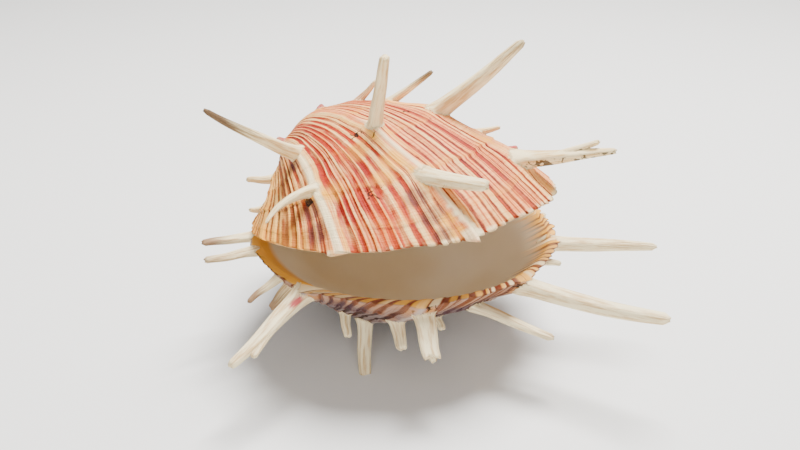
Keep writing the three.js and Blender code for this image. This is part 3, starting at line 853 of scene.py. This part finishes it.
# pairs are where a colour starts and where it is full, fours also where it falls and ends,
# and single numbers are shares, or how uneven the named streak makes an edge
shellPaint = {
    "valleyDraw": 300.0, "natureDraw": 700.0,  # apart, so that each groove has two values of chance
    "flankWander": 0.06, "flankWidth": 0.05, "farCloud": 0.25, "farWidth": 0.15,
    "farLoss": 0.28, "flankLoss": 0.12, "ribLoss": 0.45, "ribEdge": (0.1, 0.6),
    "depthValley": 0.5, "depthWander": 0.5, "depthFleck": 0.3, "fadedEdge": (0.48, 0.68),
    "farFading": 0.6, "grooveEdge": (-0.14, 0.06), "shoulderBand": (-0.4, -0.1, 0.0, 0.16),
    "threadBand": (0.03, 0.12, 0.2, 0.32), "middleEdge": (0.05, 0.2),

    "oldCloud": 0.4, "oldEdge": (0.35, 0.8), "old": 0.4, "far": 0.6,
    "pinkLane": 0.5, "pinkFar": 0.18, "pinkEdge": (0.3, 0.7), "hairEdge": (0.48, 0.7), "hair": 0.5,
    "warmNature": 0.5, "warmFleck": 0.5, "warmEdge": (0.35, 0.65),
    "paleWander": 0.6, "paleEdge": (0.5, 0.75), "pale": 0.6, "paleFar": 0.4,
    "deepFleck": 0.9, "deepWander": 0.5, "deepFar": 0.45, "deepEdge": (0.4, 0.65), "deepFlank": 0.5,
    "deep": 0.9, "lipGrowth": (0.982, 0.998), "lipNature": (0.3, 0.6), "lip": 0.7,
    "splitFleck": 0.1, "splitCrest": (0.8, 0.9), "splitWander": 0.6, "splitLane": (0.25, 0.5),
    "split": 0.85, "threadFading": 0.6, "thread": 0.75, "fibreEdge": (0.42, 0.68), "fibre": 0.75,
    "linesEdge": (0.45, 0.7), "lines": 0.45,
    "shoulderCloud": 0.6, "shoulderEdge": (0.42, 0.62), "shoulder": 0.65,

    "haltBase": 0.3, "wornBand": (-0.03, -0.006, -0.003, 0.001), "wornPatch": (0.38, 0.6),
    # the thin dark line under each halt in growth is painted shade
    "haltShadeBand": (-0.002, 0.001, 0.003, 0.008), "haltShadeWander": 0.3, "haltShadeBroken": (0.54, 0.66), "line": 0.7,

    "youngWander": 0.2, "youngEdge": (0.84, 1.0), "youngFlank": 0.75,
    "besideBand": (0.06, 0.3, 0.4, 0.8), "besidePatch": (0.42, 0.6), "beside": 0.6, "worn": 0.5,
    "amberWander": 0.9, "amberEdge": (0.25, 0.9), "amber": 0.9,
    # the dark patches of the shell's own brown and painted shadow
    "bruiseAndShadowWander": 0.8, "bruiseAndShadowEdge": (0.15, 0.8), "bruiseAndShadowPale": 0.35, "bruiseAndShadow": 0.85,
    "ribPinkEdge": (0.45, 0.75), "ribPink": 0.3, "whiteOld": 0.65, "whiteYoung": 0.35,
    "whiteGrowth": (0.5, 0.65), "whiteWander": 0.25, "whiteEdge": (0.42, 0.72), "white": 0.94,
    "fringeLane": 0.012, "fringeEdge": (0.986, 0.997), "fringeGap": (0.45, 0.7), "fringeLoss": 0.7,
    "fringeFlank": 0.8, "hingeEdge": (0.35, 0.65),

    "streak": (2.6, 4.0, 0.6), "chalkEdge": (0.4, 0.68), "stainStreak": 0.7, "stainEdge": (0.15, 0.65),
    "blushStreak": 0.9, "blushEdge": (0.3, 0.8), "blush": 0.95, "spineWander": 0.3, "spineEdge": (0.25, 0.7),

    "plainWidth": 0.08, "rimLane": 0.05, "rimDeeper": 0.05, "rimFar": (0.48, 0.6),
    "stripePlain": 1.2, "stripeEdge": (-0.25, 0.1), "rimPaleLane": 0.8, "rimPalePlain": 0.8,
    "rimPaleFar": 0.25, "rimPaleEdge": (0.35, 0.65), "hollowEdge": (0.3, 0.7), "lipWidth": 0.25,

    "dirtUpper": (-0.1, 0.45), "dirtAll": (0.6, 0.8), "hairThin": (0.008, 0.025), "dirtEdge": (0.28, 0.6),
    "dirtHair": 0.3, "dirtHeld": 0.05, "speckEdge": (0.6, 0.68), "crustSpeck": 0.9, "crustEdge": (0.4, 0.7),

    "linesHeight": 0.6, "fleckHeight": 0.3, "threadsHeight": 1.2, "fibreHeight": 0.4, "grainHeight": 0.15,
    "reliefInside": (0.1, 0.5), "streakHeight": 0.9, "chalkGrain": 0.2, "bump": 0.8, "bumpReach": 0.0005,
    "rough": 0.6, "roughChalk": 0.2, "roughDirt": 0.2, "smoothInside": (0.3, 0.9), "smooth": 0.18,
}


def shellFinish(name, look, valve):
    f = Finish(name, shellPaint)
    paint = shellPaint
    (
        riblet, turn, growth, mainRib, white, inside, hinge, spineHere,
        grime, crust, bruiseAndShadow, amber, stain, blush,
    ) = [f.field(key) for key in shellFields[:-1]]  # all but root, which only the shapes use
    position = f.node("ShaderNodeTexCoord", {}, {}, "Object")
    skin = f.node("ShaderNodeAttribute", {"attribute_name": "skin"}, {}, "Vector")
    wander, fleck, fibre, lines, fading, hairline, threads = [
        f.noise(f.vector(riblet * wide, growth * often, shift), 1.0, detail)
        for wide, often, shift, detail in streakForm.values()
    ]
    patch, cloud, broken, hair, speck, grain = [f.noise(position, *form) for form in noiseForm.values()]
    streak = f.noise(skin, *paint["streak"])

    # riblets: pale crests and coloured grooves, uneven from groove to groove and along each one
    across = riblet % 1.0
    crest = 1 - abs(across - 0.5) * 2
    lane = f.chance(riblet - across)
    groove = riblet + 0.5 - (riblet + 0.5) % 1.0
    valley = f.chance(groove + paint["valleyDraw"])
    nature = f.chance(groove + paint["natureDraw"])
    flankEnd = look["flankStart"] + paint["flankWidth"]
    flank = f.rise(turn + wander.uneven("flankWander"), look["flankStart"], flankEnd)
    farStart = look["pinkEnd"] - paint["farWidth"]
    far = 1 - f.rise(turn + cloud.uneven("farCloud"), farStart, look["pinkEnd"])  # the pinker side
    share = look["grooveShare"] - far * paint["farLoss"] - flank * paint["flankLoss"]
    share = share - f.edge(mainRib, "ribEdge") * paint["ribLoss"]
    depth = share + valley.uneven("depthValley") + wander.uneven("depthWander")
    depth = depth + fleck.uneven("depthFleck") - crest
    faded = f.edge(fading, "fadedEdge")
    kept = 1 - faded * look["fading"] * (1 - far * paint["farFading"])
    pale = 1 - f.edge(depth, "grooveEdge") * kept
    shoulder = f.band(depth, "shoulderBand")
    thread = f.band(depth, "threadBand")
    middle = 1 - f.edge(crest, "middleEdge")

    # which colours the grooves and crests take on each part of the shell
    old = 1 - f.edge(growth + cloud.uneven("oldCloud"), "oldEdge")
    pinker = f.edge(cloud + lane.uneven("pinkLane") + far * paint["pinkFar"], "pinkEdge")
    crestColour = f.blend(pinker, look["crest"], look["crestPink"])
    crestColour = f.blend(f.edge(hairline, "hairEdge") * paint["hair"], crestColour, look["crestPink"])
    crestColour = f.blend(flank, crestColour, look["flankCrest"])
    warmer = patch + nature.uneven("warmNature") + fleck.uneven("warmFleck")
    red = f.blend(f.edge(warmer, "warmEdge"), look["groove"], look["grooveWarm"])
    red = f.blend(old * paint["old"], red, look["oldGroove"])
    red = f.blend(far * paint["far"], red, look["farGroove"])
    red = f.blend(flank, red, look["flankGroove"])
    paler = middle * f.edge(nature + wander.uneven("paleWander"), "paleEdge")
    red = f.blend(paler * (paint["pale"] - far * paint["paleFar"]), red, crestColour)
    deeper = nature + fleck.uneven("deepFleck") - wander.uneven("deepWander")
    deeper = f.edge(deeper + far * paint["deepFar"], "deepEdge")
    dark = thread * deeper * (1 - flank * paint["deepFlank"])
    red = f.blend(dark * paint["deep"], red, f.blend(far, look["grooveDeep"], look["farThread"]))
    atLip = f.edge(growth, "lipGrowth") * f.edge(nature, "lipNature") * (1 - flank)
    red = f.blend(atLip * paint["lip"], red, look["grooveDeep"])
    outer = f.blend(pale, red, crestColour)
    split = f.edge(crest + fleck.uneven("splitFleck"), "splitCrest")
    split = split * f.edge(lane + wander.uneven("splitWander"), "splitLane") * far
    outer = f.blend(split * paint["split"], outer, look["farGroove"])
    thin = thread * far * (1 - faded * paint["threadFading"])
    outer = f.blend(thin * paint["thread"], outer, look["farThread"])
    outer = f.blend(f.edge(fibre, "fibreEdge") * paint["fibre"], outer, look["fibre"], "MULTIPLY")
    outer = f.blend(f.edge(lines, "linesEdge") * paint["lines"], outer, look["fibre"], "MULTIPLY")
    beside = shoulder * f.edge(wander + cloud.uneven("shoulderCloud"), "shoulderEdge")
    outer = f.blend(beside * paint["shoulder"], outer, look["shoulder"])

    # the halts in growth: a worn pale edge, then a thin dark line of painted shade at the foot of each step
    small = haltWander["small"] * (turn * haltWander["smallTurn"]).sine()
    worn, line = 0.0, 0.0
    for place, height in valve["growthSteps"]:
        wide = haltWander["wide"] * (turn * haltWander["wideTurn"] + haltWander["widePlace"] * place).sine()
        past = growth - place - small - wide
        worn = worn + f.band(past, "wornBand") * (height + paint["haltBase"])
        line = line + f.band(past, "haltShadeBand") * (height + paint["haltBase"])
    worn = worn * f.edge(patch, "wornPatch")
    line = line * f.edge(broken + wander.uneven("haltShadeWander"), "haltShadeBroken")

    # orange along the younger margin, beside the main ribs and at the halts in growth
    warm = f.edge(growth + wander.uneven("youngWander"), "youngEdge")
    warm = warm * (look["edgeWarmth"] + flank * paint["youngFlank"]) + worn * paint["worn"]
    besideRib = f.band(mainRib, "besideBand") * f.edge(patch, "besidePatch") * pale
    spots = f.edge(amber + wander.uneven("amberWander"), "amberEdge")
    warm = warm + besideRib * paint["beside"] + spots * paint["amber"]
    outer = f.blend(warm * look["warmth"], outer, f.blend(pale, look["orangeDeep"], look["orange"]))
    # dark purple-brown patches: the shell's own brown together with painted shadow, weaker on the pale
    # crests
    spots = f.edge(bruiseAndShadow + wander.uneven("bruiseAndShadowWander"), "bruiseAndShadowEdge")
    outer = f.blend(spots * (1 - pale * paint["bruiseAndShadowPale"]) * paint["bruiseAndShadow"], outer, look["bruiseAndShadow"])

    # bare main ribs, the thin painted-shade lines at the foot of the halts, a pale fringe and the hinge
    ribSkin = f.edge(wander, "ribPinkEdge") * paint["ribPink"]
    ribSkin = f.blend(ribSkin, look["mainRib"], look["crestPink"])
    bare = white * (paint["whiteOld"] + f.edge(growth, "whiteGrowth") * paint["whiteYoung"])
    bare = f.edge(bare + wander.uneven("whiteWander"), "whiteEdge")
    outer = f.blend(bare * paint["white"], outer, ribSkin)
    # painted shade: a dark line at the foot of each growth step
    outer = f.blend(line * paint["line"], outer, look["grooveDeep"])
    fringe = f.edge(growth + lane.uneven("fringeLane"), "fringeEdge") * pale
    fringe = fringe * (1 - f.edge(wander, "fringeGap") * paint["fringeLoss"])
    outer = f.blend(fringe * (1 - flank * paint["fringeFlank"]) * look["fringe"], outer, look["mainRib"])
    hingeColour = f.blend(f.edge(wander, "hingeEdge"), look["hingePale"], look["hingeDark"])
    outer = f.blend(hinge, outer, hingeColour)

    # chalky spines, streaked along their length, browned towards some tips
    chalk = f.blend(f.edge(streak, "chalkEdge"), look["chalk"], look["chalkShade"])
    browned = f.edge(stain + streak.uneven("stainStreak"), "stainEdge")
    chalk = f.blend(browned, chalk, look["tipStain"])
    blushed = f.edge(blush + streak.uneven("blushStreak"), "blushEdge")
    chalk = f.blend(blushed * paint["blush"], chalk, look["blush"])
    outer = f.blend(f.edge(spineHere + wander.uneven("spineWander"), "spineEdge"), outer, chalk)

    # porcelain hollow with a coloured rim
    plain = 1 - f.rise(turn, look["rimPlain"], look["rimPlain"] + paint["plainWidth"])
    rimDepth = growth + lane.uneven("rimLane") * (1 - plain) + plain * paint["rimDeeper"]
    rimDepth = f.rise(rimDepth, look["rimStart"], 1.0)
    farRim = f.edge(turn, "rimFar")
    rimPale = wander + lane.uneven("rimPaleLane") - plain * paint["rimPalePlain"]
    rimPale = f.edge(rimPale - farRim * paint["rimPaleFar"], "rimPaleEdge")
    rimCrest = f.blend(rimPale, look["rimCrest"], look["rimPale"])
    rimGroove = f.blend(farRim, look["rimGroove"], look["rimFarGroove"])
    rim = f.blend(f.edge(plain * paint["stripePlain"] - depth, "stripeEdge"), rimGroove, rimCrest)
    hollow = f.blend(f.edge(cloud, "hollowEdge"), look["hollow"], look["hollowWarm"])
    innerColour = f.blend(rimDepth * (1 - hinge), hollow, rim)
    overLip = f.rise(inside, look["lipEdge"], look["lipEdge"] + paint["lipWidth"])
    colour = f.blend(overLip, outer, innerColour)

    # dirt: specks and thin curled threads in a few spots, and under some spines
    facing = f.node("ShaderNodeNewGeometry", {}, {}, "Normal")
    upright = f.node("ShaderNodeSeparateXYZ", {}, {0: facing}, "Z")
    clean = spineHere * f.edge(upright, "dirtUpper") * (1 - f.edge(grime, "dirtAll"))
    held = grime * (1 - clean)
    curl = 1 - f.edge(abs(hair - 0.5), "hairThin")
    specks = f.edge(speck + curl * paint["dirtHair"] + held * paint["dirtHeld"], "speckEdge")
    dirty = f.edge(held, "dirtEdge") * specks
    dirty = dirty + f.edge(crust + speck.uneven("crustSpeck"), "crustEdge")
    colour = f.blend(dirty * look["dirt"], colour, look["dirtColour"])

    relief = lines * paint["linesHeight"] + fleck * paint["fleckHeight"] + threads * paint["threadsHeight"]
    relief = relief + fibre * paint["fibreHeight"] + grain * paint["grainHeight"]
    relief = relief * (1 - f.edge(inside, "reliefInside")) * (1 - spineHere)
    relief = relief + (streak * paint["streakHeight"] + grain * paint["chalkGrain"]) * spineHere
    bump = {"Strength": paint["bump"], "Distance": paint["bumpReach"], "Height": relief}
    normal = f.node("ShaderNodeBump", {}, bump)
    rough = paint["rough"] + spineHere * paint["roughChalk"] + dirty * paint["roughDirt"]
    rough = rough - f.edge(inside, "smoothInside") * paint["smooth"]
    f.feed(f.shader, {"Base Color": colour, "Roughness": rough, "Normal": normal})
    f.feed(f.shader, {"Specular IOR Level": look["shine"]})
    return f.material


upperLook = {
    "grooveShare": 0.65, "flankStart": 0.722, "pinkEnd": 0.62, "warmth": 0.9, "rimStart": 0.93,
    "rimPlain": -1.0, "dirt": 0.9, "fringe": 0.7, "edgeWarmth": 0.1, "shine": 0.2, "fading": 0.5,
    "lipEdge": 0.5,
    "groove": tint("#9c2416"), "grooveWarm": tint("#c24410"), "grooveDeep": tint("#541416"),
    "oldGroove": tint("#b43e28"), "farGroove": tint("#a83616"), "farThread": tint("#5e0e06"),
    "crest": tint("#f8d088"), "crestPink": tint("#f5a066"), "shoulder": tint("#ee8a34"),
    "fibre": tint("#e09a78"), "flankGroove": tint("#8e5024"), "flankCrest": tint("#f6c46a"),
    # the dark purple-brown of the patches stands partly for painted shadow below the spines
    "orange": tint("#f4a834"), "orangeDeep": tint("#cc7a2e"), "bruiseAndShadow": tint("#5a2c26"),
    "mainRib": tint("#fde9b6"), "hingePale": tint("#cfa77c"), "hingeDark": tint("#8a583a"),
    "chalk": tint("#f8e6b6"), "chalkShade": tint("#d8b074"), "tipStain": tint("#735a40"),
    "blush": tint("#b8484c"), "rimGroove": tint("#a8743f"), "rimFarGroove": tint("#a8743f"),
    "rimCrest": tint("#f0dcb8"), "rimPale": tint("#f6ead2"), "hollow": tint("#e8dac2"),
    "hollowWarm": tint("#dac6a4"), "dirtColour": tint("#2a180c"),
}
# the lower valve's outside keeps its own purple-brown stripes, but its crest, groove, shoulder, fibre and
# main-rib colours are darkened further as painted shade for this downward-facing side
lowerLook = {
    "grooveShare": 0.56, "flankStart": 2.0, "pinkEnd": -1.0, "warmth": 0.4, "rimStart": 0.9,
    "rimPlain": 0.17, "dirt": 0.9, "fringe": 0.3, "edgeWarmth": 0.9, "shine": 0.25, "fading": 0.2,
    "lipEdge": 0.05,
    "groove": tint("#34191a"), "grooveWarm": tint("#4e261c"), "grooveDeep": tint("#1c0e12"),
    "oldGroove": tint("#6c5254"), "farGroove": tint("#6c5254"), "farThread": tint("#26141a"),
    "crest": tint("#8c7c78"), "crestPink": tint("#6c5e60"), "shoulder": tint("#765040"),
    "fibre": tint("#b8949a"), "flankGroove": tint("#86482f"), "flankCrest": tint("#d59f6a"),
    # the dark purple-brown patch colour adds to the painted shade here
    "orange": tint("#dd9440"), "orangeDeep": tint("#ae6028"), "bruiseAndShadow": tint("#432830"),
    "mainRib": tint("#b4a49a"), "hingePale": tint("#cfa77c"), "hingeDark": tint("#8a583a"),
    "chalk": tint("#f8e8bc"), "chalkShade": tint("#d4b280"), "tipStain": tint("#957658"),
    "blush": tint("#b8484c"), "rimGroove": tint("#7e3820"), "rimFarGroove": tint("#925c2a"),
    "rimCrest": tint("#eeaa3e"), "rimPale": tint("#fadca8"), "hollow": tint("#ecdec8"),
    "hollowWarm": tint("#e0ccac"), "dirtColour": tint("#2a180c"),
}

upperFinish = shellFinish("upperShellFinish", upperLook, upperValve)
upperPiece = valvePiece("upperValveShell", upperValve, upperPlacing, upperFinish)
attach(upperPiece, "root")
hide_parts("upper_valve")
lowerFinish = shellFinish("lowerShellFinish", lowerLook, lowerValve)
lowerPiece = valvePiece("lowerValveShell", lowerValve, lowerPlacing, lowerFinish)
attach(lowerPiece, "root")
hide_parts("lower_valve")

ligamentPad = {
    "ridges": 9, "ridgeDepth": 0.06, "dark": tint("#20130c"), "light": tint("#5a3a24"),
    "fibres": (900, 150, 150), "lightEdge": (0.35, 0.7), "bump": 0.5, "bumpReach": 0.0003,
    "rough": 0.45, "roughFibre": 0.3,
}


def ligamentFinish():
    f = Finish("ligamentFinish", ligamentPad)
    pad = ligamentPad
    position = f.node("ShaderNodeTexCoord", {}, {}, "Object")
    drawn = f.node("ShaderNodeVectorMath", {"operation": "MULTIPLY"}, {0: position, 1: pad["fibres"]})
    fibre = f.noise(drawn, 1.0)
    colour = f.blend(f.edge(fibre, "lightEdge"), pad["dark"], pad["light"])
    bump = {"Strength": pad["bump"], "Distance": pad["bumpReach"], "Height": fibre}
    normal = f.node("ShaderNodeBump", {}, bump)
    rough = pad["rough"] + fibre * pad["roughFibre"]
    f.feed(f.shader, {"Base Color": colour, "Roughness": rough, "Normal": normal})
    return f.material


ligamentPiece = hingeLump(shellShape["ligamentSize"], 0, 0.0, Matrix.Identity(4), {})
ligamentPiece.name = "hingeLigamentPad"
for vertex in ligamentPiece.data.vertices:
    bulge = 1 - ligamentPad["ridgeDepth"] * (1 + math.cos(ligamentPad["ridges"] * vertex.co.x)) / 2
    vertex.co.y = (vertex.co.y + shellShape["hingeSetIn"]) * bulge - shellShape["hingeSetIn"]
    vertex.co.z = vertex.co.z * bulge
ligamentPiece.data.transform(toRow)
ligamentPiece.data.shade_smooth()
ligamentPiece.data.materials.append(ligamentFinish())
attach(ligamentPiece, "root")
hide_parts("hinge_ligament")
print("ligament made")

studio = {
    "floorSize": 6.0,
    "floorColour": tint("#e8e6e2"),
    "floorRough": 0.9,
    "skyColour": (1.0, 1.0, 1.0, 1.0),
    "skyStrength": 0.36,
    "keyPlace": (0.22, 0.05, 0.75),
    "keySize": 0.4,
    "keyPower": 21.0,
    "fillPlace": (-0.6, -0.6, 0.45),
    "fillSize": 0.8,
    "fillPower": 5.5,
    "aim": (0, 0, 0.03),
}


def softLight(name, place, size, power):
    lamp = bpy.data.lights.new(name, "AREA")
    lamp.shape = "DISK"
    lamp.size = size
    lamp.energy = power
    made = bpy.data.objects.new(name, lamp)
    made.location = place
    made.rotation_euler = (Vector(studio["aim"]) - made.location).to_track_quat("-Z", "Y").to_euler()
    bpy.context.scene.collection.objects.link(made)


def floorFinish():
    f = Finish("floorFinish", studio)
    f.feed(f.shader, {"Base Color": studio["floorColour"], "Roughness": studio["floorRough"]})
    return f.material


half = studio["floorSize"] / 2
floorMesh = bpy.data.meshes.new("floor")
floorCorners = [(-half, -half, 0), (half, -half, 0), (half, half, 0), (-half, half, 0)]
floorMesh.from_pydata(floorCorners, [], [(0, 1, 2, 3)])
floor = bpy.data.objects.new("floor", floorMesh)
floorMesh.materials.append(floorFinish())
bpy.context.scene.collection.objects.link(floor)

world = bpy.data.worlds.new("studio")
world.use_nodes = True
world.node_tree.nodes["Background"].inputs["Color"].default_value = studio["skyColour"]
world.node_tree.nodes["Background"].inputs["Strength"].default_value = studio["skyStrength"]
bpy.context.scene.world = world
softLight("overheadLight", studio["keyPlace"], studio["keySize"], studio["keyPower"])
softLight("frontFill", studio["fillPlace"], studio["fillSize"], studio["fillPower"])

photoView = {
    "azimuth": -44.41,  # degrees round the shell, 0 looks along +Y
    "elevation": 25.27,
    "distance": 299.9,  # from the middle of the round margin
    "aside": -1.27,  # of the camera to its right
    "above": 1.46,
    "lens": 45.0,
    "sensor": 36.0,
    "nearest": 0.01,  # metres
}


def photoCamera():
    around = math.radians(photoView["azimuth"])
    high = math.radians(photoView["elevation"])
    right = Vector((math.cos(around), math.sin(around), 0))
    back = Vector((math.sin(around) * math.cos(high), -math.cos(around) * math.cos(high), math.sin(high)))
    up = back.cross(right)
    place = Vector((0, -shellShape["hingeSetback"], 0)) + back * photoView["distance"]
    place = place + right * photoView["aside"] + up * photoView["above"]
    made = bpy.data.objects.new("photoCamera", bpy.data.cameras.new("photoCamera"))
    made.data.lens = photoView["lens"]
    made.data.sensor_width = photoView["sensor"]
    made.data.clip_start = photoView["nearest"]
    turned = Matrix((right, up, back)).transposed().to_4x4()
    made.matrix_world = Matrix.Translation(toRow @ place) @ turned
    bpy.context.scene.collection.objects.link(made)
    return made


bpy.context.scene.camera = photoCamera()
print("studio ready")
